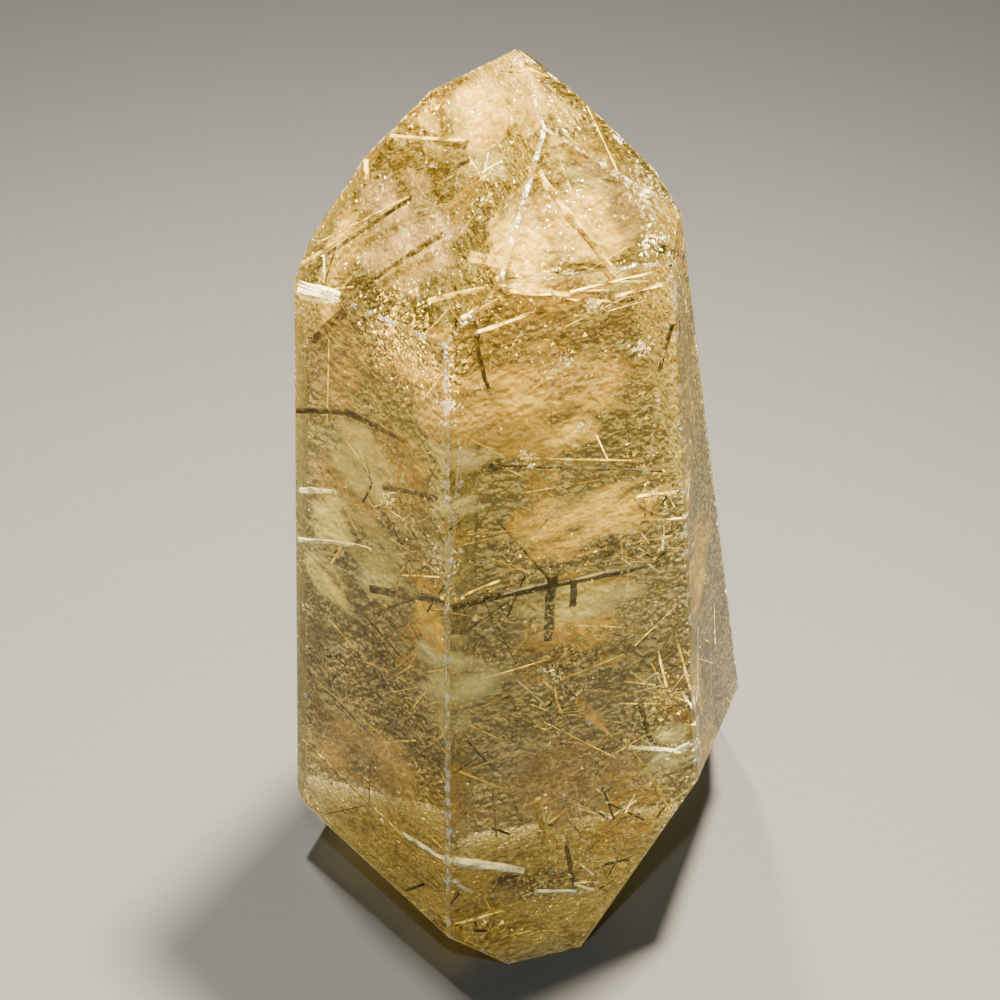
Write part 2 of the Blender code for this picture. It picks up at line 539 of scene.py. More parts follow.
def quartz_finish():
    finish = Finish("smoky_quartz")
    worn = finish.node("ShaderNodeAttribute", {"attribute_name": "worn"}, output="Fac")
    from_inside = finish.node("ShaderNodeNewGeometry", output="Backfacing")
    crushed = finish.ramp(finish.cloudiness(CRUSH_SCALE, 2.0), (0.50, BLACK), (0.60, WHITE))
    bruise = worn * (1.0 - from_inside) * crushed
    layers = [
        milkiness(finish, from_inside, bruise),
        polish(finish, worn, from_inside),
        film(finish, bruise),
    ]
    seen = finish.node("ShaderNodeMixShader", {}, layers)
    let_through = finish.node("ShaderNodeBsdfTransparent")
    # Painted shade: stray light from outside meets this dark skin instead of the glowing stone,
    # which darkens the stone's shadow on the table.
    dull = finish.node("ShaderNodeBsdfDiffuse", {}, {"Color": SHADOW_DARKENING_TONE})
    lamp = finish.node("ShaderNodeLightPath", output="Is Shadow Ray")
    stray = finish.node("ShaderNodeLightPath", output="Is Diffuse Ray")
    lit = finish.node("ShaderNodeMixShader", {}, [lamp * from_inside, seen, let_through])
    from_outside = (stray + lamp) * (1.0 - from_inside)
    shader = finish.node("ShaderNodeMixShader", {}, [from_outside, lit, dull])
    smoke = {"Color": SMOKE_COLOUR, "Density": SMOKE_DENSITY}
    return finish.surface(shader, finish.node("ShaderNodeVolumeAbsorption", {}, smoke))


crystal.data.materials.clear()
crystal.data.materials.append(quartz_finish())
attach(crystal, "root")
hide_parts("quartz_crystal")
print("quartz finish on", crystal.name)

# %% [markdown]
# ## Looking into the stone
#
# What grew inside is placed where the photograph shows it, but light bends as it enters a facet,
# so nothing is where it seems to be. `inside` follows a sight line from the camera, bends it at
# the facet by the law of refraction and goes the asked depth further into the stone.

# %% Follow a sight line into the stone
EYE = Vector((-2.01, -558.25, 515.8)) * MM
DIP = math.radians(40.0)
FOCAL_PIXELS = 7000.0
MIDDLE_PIXEL = 500.0
DRAW_IN = 0.01
SKIN = 0.7 * MM
AHEAD = Vector((0.0, math.cos(DIP), -math.sin(DIP)))
ABOVE = Vector((0.0, math.sin(DIP), math.cos(DIP)))


def sight_line(pixel):
    right = (pixel[0] - MIDDLE_PIXEL) / FOCAL_PIXELS
    down = (pixel[1] - MIDDLE_PIXEL) / FOCAL_PIXELS
    return (AHEAD + Vector((right, 0.0, 0.0)) - ABOVE * down).normalized()


def inside(pixel, depth):
    """The point seen at this pixel, this many millimetres into the stone.

    A pixel just off the outline is drawn in towards the middle of the picture until it is on it.
    """
    entry = None
    while entry is None:
        ray = sight_line(pixel)
        entry, normal, _face, _far = stone_tree.ray_cast(EYE, ray)
        pixel = [place + (MIDDLE_PIXEL - place) * DRAW_IN for place in pixel]
    straight = -ray.dot(normal)
    sideways = (1.0 - straight * straight) / QUARTZ_IOR**2
    bent = ray / QUARTZ_IOR + normal * (straight / QUARTZ_IOR - math.sqrt(1.0 - sideways))
    back, _normal, _face, _far = stone_tree.ray_cast(entry + bent * WELD, bent)
    room = (back - entry).length - SKIN if back is not None else SKIN
    return entry + bent * max(min(depth * MM, room), SKIN / 2)


def buried(point):
    """How far under the nearest facet a point is, or less than nothing outside the stone."""
    nearest, normal, _face, far = stone_tree.find_nearest(point)
    return far if (point - nearest).dot(normal) < 0.0 else -far


def is_inside(point, skin=SKIN):
    return buried(point) > skin


print("centre of the picture, 5 mm in, is", [round(c / MM, 1) for c in inside((500, 500), 5.0)])

# %% [markdown]
# ## Needles
#
# The needles are long thin crystals of another mineral that the quartz grew around: flat-sided
# rods, slightly uneven, dark olive where they are thick. The golden ones are partly the needles'
# own colour and partly painted light: the light that passes thin needles is laid on as an opaque
# golden colour. Each rod is a slim cone with four to six sides, cut across into rings, and every
# ring is moved a little so that no rod is ruler straight. Rods of one colour are one joined piece.

# %% Shape one rod
ROD_TAPER = (0.7, 1.0)
ROD_FLATNESS = 0.65
ROD_UNEVENNESS = 0.10
ROD_SWAY = 0.15


def is_rail(edge, length):
    """Whether an edge of an upright cone runs up its side."""
    return abs(edge.verts[0].co.z - edge.verts[1].co.z) > length / 2


def sideways(chance):
    return Vector((chance.uniform(-1.0, 1.0), chance.uniform(-1.0, 1.0), 0.0))


def add_rod(heap, start, end, width, chance, sides=6, rings=5):
    """Adds an uneven prism from start to end."""
    along = end - start
    rod = bmesh.new()
    bmesh.ops.create_cone(
        rod,
        cap_ends=True,
        segments=sides,
        radius1=width / 2,
        radius2=width / 2 * chance.uniform(*ROD_TAPER),
        depth=along.length,
    )
    rails = [edge for edge in rod.edges if is_rail(edge, along.length)]
    bmesh.ops.subdivide_edges(rod, edges=rails, cuts=rings)
    spin = Matrix.Rotation(chance.uniform(0.0, math.pi), 3, "Z")
    aim = along.to_track_quat("Z", "Y").to_matrix()
    sway = sideways(chance) * width * ROD_SWAY
    for vertex in rod.verts:
        lean = sideways(chance) * width * ROD_UNEVENNESS
        bow = math.cos(vertex.co.z / along.length * math.pi)
        flat = Vector((vertex.co.x, vertex.co.y * ROD_FLATNESS, vertex.co.z)) + lean + sway * bow
        vertex.co = (start + end) / 2 + aim @ (spin @ flat)
    heap.add(rod)


print("a rod sways by", ROD_SWAY, "of its width")

# %% [markdown]
# The larger needles are placed one by one. Each has its two ends as the photograph shows them, the
# depth of each end in millimetres under the facet, and its width in millimetres.

# %% List the needles that can be told apart
DARK_NEEDLES = {
    "under_left_shoulder": ((412, 197), (296, 266), 3.0, 1.5, 0.62),
    "high_left": ((444, 233), (366, 284), 4.0, 3.0, 0.75),
    "high_left_carried_on": ((346, 304), (312, 341), 3.0, 3.5, 0.75),
    "upright_head": ((454, 299), (461, 325), 4.0, 4.0, 0.6),
    "upright": ((473, 320), (488, 389), 4.0, 4.0, 0.6),
    "left_bar": ((296, 410), (348, 413), 2.0, 3.0, 0.7),
    "left_bar_carried_on": ((345, 411), (405, 442), 3.0, 4.0, 0.7),
    "olive_slant": ((396, 341), (431, 379), 5.0, 5.0, 0.5),
    "left_middle": ((383, 487), (445, 502), 4.0, 4.0, 0.6),
    "long_bar": ((370, 589), (500, 595), 3.0, 4.0, 0.8),
    "long_bar_carried_on": ((500, 595), (680, 560), 4.0, 4.0, 0.75),
    "peg": ((553, 575), (548, 640), 3.0, 3.0, 0.95),
    "small_peg": ((573, 580), (573, 606), 3.0, 3.0, 0.6),
    "right_thin": ((677, 322), (659, 372), 2.0, 3.0, 0.4),
    "right_spot": ((686, 414), (694, 441), 1.5, 1.5, 0.7),
    "tip_right_long": ((545, 80), (580, 126), 1.5, 2.0, 0.45),
    "tip_right_short": ((560, 128), (579, 151), 1.5, 1.5, 0.4),
    "tip_knot": ((430, 141), (466, 146), 3.0, 3.0, 0.8),
    "tip_short": ((440, 176), (470, 160), 3.0, 3.0, 0.5),
    "right_corner": ((652, 243), (690, 251), 2.0, 1.5, 0.9),
    "seam": ((490, 465), (664, 471), 3.0, 3.0, 0.42),
    "seam_knot": ((489, 463), (500, 467), 3.0, 3.0, 1.1),
    "foot_dark": ((566, 842), (575, 893), 3.0, 3.0, 0.5),
    "right_foot_dark": ((640, 700), (652, 745), 3.0, 3.0, 0.5),
}
# Partly painted light: these golden rods carry as their own colour the gold that light passing
# thin needles shows.
GOLDEN_NEEDLES = {
    "broad_band": ((470, 257), (600, 305), 3.0, 3.0, 0.95),
    "broad_band_edge": ((495, 280), (590, 297), 3.4, 3.4, 0.6),
    "short_bar": ((428, 301), (488, 288), 3.0, 3.0, 0.45),
    "crossing": ((478, 333), (531, 314), 3.0, 3.0, 0.5),
    "crossing_carried_on": ((531, 314), (566, 306), 3.0, 3.0, 0.5),
    "long_slant": ((528, 168), (563, 209), 2.5, 2.5, 0.5),
    "long_slant_carried_on": ((563, 209), (614, 280), 2.5, 2.5, 0.75),
    "right_level": ((570, 293), (652, 273), 3.0, 3.0, 0.5),
    "right_level_short": ((615, 297), (662, 285), 2.5, 2.5, 0.6),
    "lower_left_slant": ((303, 740), (402, 835), 2.5, 2.5, 0.42),
    "green_bar": ((537, 800), (560, 876), 3.5, 3.5, 1.0),
    "foot_thin": ((455, 925), (505, 911), 2.5, 2.5, 0.4),
    "right_streak": ((625, 740), (666, 806), 3.0, 3.0, 0.5),
    "middle_short": ((455, 601), (500, 581), 3.0, 3.0, 0.5),
    "seam_above": ((520, 459), (640, 461), 2.5, 2.5, 0.3),
    "right_row_high": ((636, 497), (676, 493), 2.0, 2.0, 0.45),
    "right_row_middle": ((640, 523), (682, 519), 2.0, 2.0, 0.4),
    "right_row_low": ((628, 545), (672, 536), 2.5, 2.5, 0.4),
    "left_edge_high": ((300, 262), (345, 236), 1.5, 2.0, 0.4),
    "left_edge_low": ((318, 243), (408, 197), 2.0, 2.0, 0.3),
    "tip_left_long": ((390, 136), (470, 141), 2.0, 2.0, 0.35),
    "tip_upright": ((366, 160), (367, 180), 1.5, 1.5, 0.45),
}
# Painted reflections: the pale rods are partly pale needles and partly bright light mirrored
# inside the stone, drawn as near-white rods.
PALE_NEEDLES_AND_REFLECTIONS = {
    "left_shelf": ((298, 290), (340, 294), 1.5, 2.0, 0.55),
    "left_shelf_low": ((300, 298), (334, 300), 1.5, 2.0, 0.4),
    "left_glow": ((300, 541), (370, 549), 2.5, 3.0, 0.8),
    "left_glow_short": ((300, 490), (336, 493), 2.0, 2.0, 0.6),
    "foot_bar": ((404, 835), (449, 861), 2.0, 2.5, 0.8),
    "foot_bar_carried_on": ((449, 862), (523, 871), 2.5, 2.5, 0.85),
    "foot_chip": ((449, 881), (471, 893), 2.0, 2.0, 0.6),
    "foot_dash": ((535, 892), (575, 892), 2.0, 2.0, 0.6),
    "right_foot_bar": ((628, 748), (680, 752), 2.5, 2.0, 0.5),
    "right_foot_bar_low": ((652, 762), (694, 742), 2.5, 2.0, 0.4),
}
print(len(DARK_NEEDLES) + len(GOLDEN_NEEDLES) + len(PALE_NEEDLES_AND_REFLECTIONS), "needles are placed by eye")

# %% [markdown]
# Round them grow sprays of thinner needles, which start near one knot and lean, more or less,
# the ways in which the quartz's own lattice leads them. A spray needs only its knot's place, its
# depth, its reach in millimetres and how many needles it has.

# %% List the sprays
SPRAYS = {
    "right_foot_star": ((668, 700), 3.5, 5.5, 16),
    "right_middle": ((655, 562), 3.0, 4.0, 12),
    "right_high": ((650, 515), 3.0, 4.0, 8),
    "foot_middle": ((596, 880), 3.0, 4.5, 10),
    "foot_tip": ((486, 930), 2.5, 3.5, 9),
    "tip": ((478, 180), 3.0, 3.0, 7),
    "apex": ((512, 66), 2.0, 2.0, 6),
    "middle_foot": ((560, 712), 4.0, 4.5, 9),
    "low_right": ((612, 820), 4.0, 5.5, 12),
    "low_middle": ((540, 830), 4.0, 4.5, 8),
    "left_shoulder": ((330, 300), 3.0, 3.5, 8),
    "high_middle": ((610, 300), 3.0, 3.5, 6),
    "left_edge": ((372, 486), 3.5, 4.0, 6),
}


LATTICE_WAYS = (Vector((0.9, 0.3, 0.25)), Vector((-0.8, 0.5, 0.5)), Vector((0.25, -0.4, 0.9)))
SPRAY_STRAYING = 0.8
SPRAY_SPREAD = (0.0, 0.8)
SPRAY_LENGTHS = (0.4, 1.3)
SPRAY_WIDTHS = (0.6, 1.3)


def add_spray(heap, knot, reach, count, width, chance):
    for _ in range(count):
        way = chance.choice(LATTICE_WAYS) + random_way(chance) * SPRAY_STRAYING
        start = knot + random_way(chance) * reach * chance.uniform(*SPRAY_SPREAD)
        end = start + way.normalized() * reach * chance.uniform(*SPRAY_LENGTHS)
        if is_inside(start) and is_inside(end):
            add_rod(heap, start, end, width * chance.uniform(*SPRAY_WIDTHS), chance, 5, 2)


print(len(SPRAYS), "sprays")

# %% [markdown]
# Behind all of these the stone is full of finer needles, too many to place. They are scattered
# evenly through it from a seeded random series, and lean the same three ways as the sprays.

# %% Build the three joined pieces of needles
NEEDLE_SEED = 7
STRAY_COUNT = 150
STRAY_LEAN = 0.35
STRAY_REACHES = (1.5, 5.5)
STRAY_WIDTHS = (0.08, 0.30)
STRAY_SKIN = 1.5 * MM
GOLDEN_SPRAY_WIDTH = 0.30 * MM
DARK_SPRAY_WIDTH = 0.34 * MM
BOLDNESS = 1.45


def add_placed(heap, needles, chance):
    for start_pixel, end_pixel, start_depth, end_depth, width in needles.values():
        start = inside(start_pixel, start_depth)
        end = inside(end_pixel, end_depth)
        add_rod(heap, start, end, width * BOLDNESS * MM, chance)


def anywhere(chance, share=1.0):
    """A random point in the middle share of the stone's box."""
    half = (HIGH - LOW) / 2
    away = [half[i] * chance.uniform(-share, share) for i in range(3)]
    return (LOW + HIGH) / 2 + Vector(away)


def scattered(chance, spread):
    """A random step away from the middle of a cloud."""
    return Vector([chance.gauss(0.0, spread) for _axis in range(3)])


def add_strays(heap, count, chance):
    while count > 0:
        spot = anywhere(chance)
        way = chance.choice(LATTICE_WAYS) + scattered(chance, STRAY_LEAN)
        way = way.normalized() * chance.uniform(*STRAY_REACHES) * MM
        start, end = spot - way, spot + way
        if is_inside(start, STRAY_SKIN) and is_inside(end, STRAY_SKIN):
            add_rod(heap, start, end, chance.uniform(*STRAY_WIDTHS) * MM, chance, 4, 1)
            count -= 1


chance = random.Random(NEEDLE_SEED)
dark_heap, golden_heap, pale_and_reflection_heap = Heap(), Heap(), Heap()
add_placed(dark_heap, DARK_NEEDLES, chance)
add_placed(golden_heap, GOLDEN_NEEDLES, chance)
add_placed(pale_and_reflection_heap, PALE_NEEDLES_AND_REFLECTIONS, chance)
for pixel, depth, reach, count in SPRAYS.values():
    knot = inside(pixel, depth)
    add_spray(golden_heap, knot, reach * MM, count, GOLDEN_SPRAY_WIDTH, chance)
    add_spray(dark_heap, knot, reach * MM, count // 2, DARK_SPRAY_WIDTH, chance)
    add_spray(pale_and_reflection_heap, knot, reach * MM, count // 3, GOLDEN_SPRAY_WIDTH, chance)
add_strays(golden_heap, STRAY_COUNT, chance)
add_strays(dark_heap, STRAY_COUNT // 3, chance)
print("needles are heaped up")

# %% [markdown]
# A needle has a dull metal-like shine. Its colour runs along it in patches, from olive to amber,
# which is a cloud pattern squeezed small. The three pieces share one finish and differ in tones.

# %% Make the needle finish and the pieces
PATCH_SCALE = 900.0
PATCH_ROUGHNESS = 0.25
STRIPE_SCALE = 2200.0
STRIPE_DEPTH = 0.15 * MM


def needle_finish(name, dark, middle, bright, metal, dullness):
    finish = Finish(name)
    patches = finish.cloudiness(PATCH_SCALE)
    colour = finish.ramp(patches, (0.34, dark), (0.52, middle), (0.68, bright))
    sockets = {
        "Base Color": colour,
        "Roughness": patches * PATCH_ROUGHNESS + dullness,
        "Metallic": metal,
        "Normal": finish.bump(finish.cloudiness(STRIPE_SCALE), 0.5, STRIPE_DEPTH),
    }
    return finish.surface(finish.node("ShaderNodeBsdfPrincipled", {}, sockets))


def grown_inside(heap, name, finish):
    made = heap.piece(name, finish)
    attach(made, "root")
    return made


DARK_TONES = ((0.010, 0.007, 0.001, 1.0), (0.030, 0.024, 0.003, 1.0), (0.16, 0.12, 0.015, 1.0))
# The bright end of the golden tones is partly painted light that passes thin needles.
GOLD_TONES = ((0.10, 0.07, 0.008, 1.0), (0.66, 0.48, 0.07, 1.0), (1.0, 0.86, 0.32, 1.0))
# Near white, partly as painted reflections of bright light inside the stone.
PALE_AND_REFLECTION_TONES = ((0.55, 0.50, 0.22, 1.0), (0.92, 0.90, 0.62, 1.0), (1.0, 1.0, 0.88, 1.0))
grown_inside(dark_heap, "dark_needles", needle_finish("dark_needle", *DARK_TONES, 0.2, 0.3))
GOLDEN_NEEDLE = needle_finish("golden_needle", *GOLD_TONES, 0.35, 0.25)
grown_inside(golden_heap, "golden_needles", GOLDEN_NEEDLE)
grown_inside(pale_and_reflection_heap, "pale_needles_and_reflections", needle_finish("pale_needle_and_reflection", *PALE_AND_REFLECTION_TONES, 0.0, 0.3))
print("three pieces of needles")

# %% [markdown]
# ## Flecks
#
# The glitter in the stone is thousands of tiny flat bubbles and flakes, thickest in a few clouds.
# Each is one small flake with four faces. A cloud is a place, a depth, its size in millimetres
# and how many flakes it holds. Finer dust fills the rest of the stone in drifts, which follow a
# noise field, and some flakes settled on the needles while the stone grew round them.

# %% Scatter the flecks
FLECK_SEED = 19
WHITE_CLOUDS = {
    "ridge_top": ((443, 405), 0.9, 1.0, 60),
    "ridge_top_below": ((447, 425), 0.9, 1.2, 24),
    "left_edge": ((387, 499), 2.0, 1.0, 34),
    "ridge_middle": ((434, 558), 1.5, 1.6, 60),
    "ridge_middle_low": ((447, 590), 1.2, 1.8, 22),
    "middle_foot": ((548, 672), 3.0, 1.2, 44),
    "right_corner": ((652, 243), 1.2, 1.1, 60),
    "band_end": ((592, 305), 2.0, 0.9, 40),
    "high_right_ring": ((641, 350), 1.8, 1.1, 60),
    "high_middle_knot": ((566, 360), 2.2, 0.8, 24),
    "middle_knot": ((582, 427), 2.2, 0.7, 24),
    "seam_knots": ((525, 457), 2.5, 1.2, 40),
    "right_low_knot": ((655, 493), 2.0, 0.8, 24),
    "tip_bubbles": ((490, 195), 3.0, 2.2, 30),
    "foot_veil": ((590, 825), 3.0, 7.5, 230),
    "foot_left": ((380, 800), 2.5, 4.5, 110),
    "right_foot": ((690, 745), 2.0, 2.0, 34),
    "left_low": ((306, 605), 1.0, 0.8, 18),
    "under_apex": ((520, 62), 1.0, 1.2, 26),
}
GOLD_CLOUDS = {
    "left_shoulder": ((395, 352), 1.6, 4.6, 1100),
    "left_shoulder_low": ((430, 375), 1.4, 2.6, 260),
    "middle_high": ((550, 368), 3.0, 4.5, 160),
    "shoulder_right": ((520, 285), 3.0, 4.0, 110),
    "right_edge": ((655, 470), 2.5, 4.0, 130),
    "tip_left_edge": ((430, 110), 2.0, 3.2, 120),
    "tip_middle": ((500, 130), 4.0, 4.5, 90),
    "right_foot": ((665, 700), 3.5, 3.5, 120),
    "foot": ((560, 870), 2.5, 5.5, 170),
    "toe": ((490, 930), 2.0, 3.0, 110),
    "middle": ((580, 560), 4.0, 6.0, 120),
}
CLOUD_SPREAD = 0.55
CLOUD_SKIN = 0.25 * MM
CLOUD_SIZES = (0.12, 0.30)
DUST_COUNT = 24000
DUST_SKIN = 0.4 * MM
DUST_SIZES = (0.05, 0.14, 3)
DRIFT_SCALE = 110.0
DRIFT_EDGE = 0.05
DUSTING_GAP = 0.5 * MM
DUSTING_REACH = 0.8
DUSTING_SIZES = (0.06, 0.16)
FLAKE_DEPTH = 0.5
FLAKE_SIDES = (0.6, 1.2)
FLAKE_PATCH_SCALE = 1500.0
FLAKE_ROUGHNESS = 0.32

flake = bmesh.new()
bmesh.ops.create_cone(
    flake, cap_ends=True, segments=3, radius1=1.0, radius2=0.0, depth=FLAKE_DEPTH
)
FLAKE = template_of(flake)


def add_flake(heap, spot, size, chance):
    sides = [size * chance.uniform(*FLAKE_SIDES) for _axis in range(3)]
    heap.add_copy(FLAKE, placed(spot, sides, chance))


def flake_size(chance, least, more, rarity=2):
    """A size in metres that is mostly near the least, in millimetres, and seldom much more."""
    return (least + more * chance.random() ** rarity) * MM


def add_clouds(heap, clouds, chance):
    for pixel, depth, spread, count in clouds.values():
        middle = inside(pixel, depth)
        for _ in range(count):
            spot = middle + scattered(chance, CLOUD_SPREAD) * spread * MM
            if is_inside(spot, CLOUD_SKIN):
                add_flake(heap, spot, flake_size(chance, *CLOUD_SIZES), chance)


def in_a_drift(spot, chance):
    return noise.noise(spot * DRIFT_SCALE) > DRIFT_EDGE * chance.gauss(0.0, 1.0)


def add_dust(heap, count, chance):
    for _ in range(count):
        spot = anywhere(chance)
        if is_inside(spot, DUST_SKIN) and in_a_drift(spot, chance):
            add_flake(heap, spot, flake_size(chance, *DUST_SIZES), chance)


def add_dusting(heap, needles, chance):
    """Flakes that settled on the needles."""
    for start_pixel, end_pixel, start_depth, end_depth, width in needles.values():
        start = inside(start_pixel, start_depth)
        end = inside(end_pixel, end_depth)
        for _ in range(int((end - start).length / DUSTING_GAP)):
            spot = start.lerp(end, chance.random())
            spot += random_way(chance) * width * DUSTING_REACH * MM
            if is_inside(spot, DUST_SKIN):
                add_flake(heap, spot, flake_size(chance, *DUSTING_SIZES), chance)


def fleck_finish(name, dark, bright, metal):
    finish = Finish(name)
    colour = finish.ramp(finish.cloudiness(FLAKE_PATCH_SCALE), (0.40, dark), (0.60, bright))
    sockets = {"Base Color": colour, "Roughness": FLAKE_ROUGHNESS, "Metallic": metal}
    return finish.surface(finish.node("ShaderNodeBsdfPrincipled", {}, sockets))


chance = random.Random(FLECK_SEED)
white_flecks, gold_flecks = Heap(), Heap()
add_clouds(white_flecks, WHITE_CLOUDS, chance)
add_clouds(gold_flecks, GOLD_CLOUDS, chance)
add_dust(white_flecks, DUST_COUNT // 6, chance)
add_dust(gold_flecks, DUST_COUNT, chance)
add_dusting(gold_flecks, DARK_NEEDLES, chance)
add_dusting(gold_flecks, GOLDEN_NEEDLES, chance)
add_dusting(white_flecks, PALE_NEEDLES_AND_REFLECTIONS, chance)
WHITE_FLECK_TONES = ((0.90, 0.88, 0.60, 1.0), (1.0, 1.0, 0.92, 1.0))
GOLD_FLECK_TONES = ((0.75, 0.48, 0.05, 1.0), (1.0, 0.82, 0.20, 1.0))
WHITE_FINISH = fleck_finish("white_fleck", *WHITE_FLECK_TONES, 0.4)
GOLD_FINISH = fleck_finish("gold_fleck", *GOLD_FLECK_TONES, 0.3)
grown_inside(white_flecks, "white_flecks", WHITE_FINISH)
grown_inside(gold_flecks, "gold_flecks", GOLD_FINISH)

# %% [markdown]
# ## Veils
#
# A veil is an old crack that healed and kept a film of tiny bubbles, so it is a thin milky sheet
# that light passes and brightens. Each is a small grid, bent by a noise field and cut off where
# it would leave the stone. It is clear at its rim and near a facet, which the attribute `fade`
# says, and patchy in between. The attribute `kind` gives its colour, from smoky to greenish. A
# few more, placed by chance, fill the back of the stone.

# %% Grow the veils
SMOKY, ROSY, GOLDEN, GREENISH = 0.0, 0.33, 0.66, 1.0
VEILS = {
    "left_high": ((365, 465), 5.0, (13.0, 12.0), -140.0, 10.0, GREENISH),
    "left_glow": ((330, 520), 3.5, (9.0, 10.0), -120.0, -10.0, GREENISH),
    "left_middle": ((375, 560), 4.5, (13.0, 11.0), -110.0, 15.0, GREENISH),
    "left_smoke": ((318, 680), 3.5, (9.0, 26.0), -150.0, 5.0, SMOKY),
    "left_foot": ((385, 770), 4.5, (14.0, 15.0), -130.0, -12.0, ROSY),
    "ridge_low": ((450, 690), 4.5, (15.0, 15.0), -100.0, 20.0, GREENISH),
    "middle": ((590, 520), 6.0, (21.0, 14.0), -70.0, -20.0, GOLDEN),
    "middle_white": ((580, 600), 4.5, (16.0, 8.0), -85.0, 25.0, GREENISH),
    "brown_hollow": ((575, 655), 4.5, (16.0, 9.0), -60.0, -15.0, SMOKY),
    "high": ((530, 400), 8.0, (25.0, 15.0), -80.0, 20.0, GOLDEN),
    "tip_high": ((460, 110), 3.5, (15.0, 12.0), -130.0, 45.0, GOLDEN),
    "tip_top": ((520, 95), 3.5, (10.0, 11.0), -90.0, 45.0, GOLDEN),
    "tip_left": ((410, 235), 5.0, (20.0, 13.0), -140.0, 40.0, ROSY),
    "tip_front": ((560, 230), 5.5, (20.0, 10.0), -70.0, 40.0, GOLDEN),
    "tip_right": ((625, 190), 4.0, (11.0, 15.0), -40.0, 45.0, SMOKY),
    "right_edge": ((668, 560), 3.5, (8.0, 30.0), -50.0, 5.0, SMOKY),
    "foot": ((560, 790), 5.5, (20.0, 13.0), -75.0, 10.0, ROSY),
    "right_foot_glow": ((668, 750), 3.0, (9.0, 7.0), -60.0, 10.0, GREENISH),
    "left_wisp": ((330, 585), 3.0, (10.0, 9.0), -145.0, -20.0, GREENISH),
    "ridge_high": ((470, 480), 3.0, (12.0, 12.0), -90.0, 15.0, GREENISH),
    "toe": ((530, 890), 3.5, (13.0, 8.0), -80.0, -15.0, SMOKY),
}
BACK_VEIL_COUNT = 12
VEIL_SEED = 61
VEIL_STEPS = 22
VEIL_BEND = 2.2 * MM
VEIL_BEND_SCALE = 90.0
VEIL_THINNING = 2.4 * MM
BACK_VEIL_SKIN = 3.0 * MM
BACK_VEIL_WIDTHS = (9.0, 18.0)
BACK_VEIL_HEIGHTS = (9.0, 16.0)
BACK_VEIL_BEARINGS = (20.0, 160.0)
BACK_VEIL_LEANS = (-30.0, 40.0)


def add_veil(heap, middle, size, bearing, lean, kind):
    veil = bmesh.new()
    fade = veil.verts.layers.float.new("fade")
    colour = veil.verts.layers.float.new("kind")
    bmesh.ops.create_grid(veil, x_segments=VEIL_STEPS, y_segments=VEIL_STEPS, size=0.5)
    upright = Matrix.Rotation(math.radians(90.0 - lean), 3, "X")
    turn = Matrix.Rotation(math.radians(bearing + 90.0), 3, "Z") @ upright
    outside = []
    for vertex in veil.verts:
        rim = min(vertex.co.xy.length * 2.0, 1.0)
        vertex[colour] = kind
        spread = Vector((vertex.co.x * size[0], vertex.co.y * size[1], 0.0)) * MM
        spread.z = noise.noise((middle + spread) * VEIL_BEND_SCALE) * VEIL_BEND
        vertex.co = middle + turn @ spread
        room = (buried(vertex.co) - SKIN) / VEIL_THINNING
        vertex[fade] = (1.0 - rim * rim * rim) * min(room, 1.0)
        if rim == 1.0 or room < 0.0:
            outside.append(vertex)
    bmesh.ops.delete(veil, geom=outside, context="VERTS")
    heap.add(veil)


def add_back_veils(heap, count, chance):
    while count > 0:
        spot = anywhere(chance, 0.9)
        if spot.y > 0.0 and is_inside(spot, BACK_VEIL_SKIN):
            size = chance.uniform(*BACK_VEIL_WIDTHS), chance.uniform(*BACK_VEIL_HEIGHTS)
            bearing, lean = chance.uniform(*BACK_VEIL_BEARINGS), chance.uniform(*BACK_VEIL_LEANS)
            kind = chance.choice((SMOKY, ROSY, GOLDEN, GREENISH))
            add_veil(heap, spot, size, bearing, lean, kind)
            count -= 1


print(len(VEILS), "veils are placed by eye and", BACK_VEIL_COUNT, "by chance")

# %% [markdown]
# The finish mixes clear and milky by those attributes and a wispy cloud pattern. Lamps shine
# through a veil as if it weren't there, which keeps the stone behind it bright.

# %% Make the veil finish and the piece
VEIL_TONES = (
    (SMOKY, (0.15, 0.12, 0.06, 1.0)),
    (ROSY, (0.62, 0.43, 0.18, 1.0)),
    (GOLDEN, (1.0, 0.69, 0.11, 1.0)),
    (GREENISH, (0.96, 0.95, 0.48, 1.0)),
)
VEIL_BODY = 0.4
VEIL_WISPINESS = 1.4
VEIL_THINNESS = 0.27
VEIL_WISP_SCALE = 170.0
VEIL_WISP_STRETCH = (1.0, 1.0, 2.2)
VEIL_AMBER_SCALE = 240.0
VEIL_AMBER_SHARE = 0.7
VEIL_CRUMPLE_SCALE = 1000.0
VEIL_CRUMPLE_DEPTH = 0.6 * MM


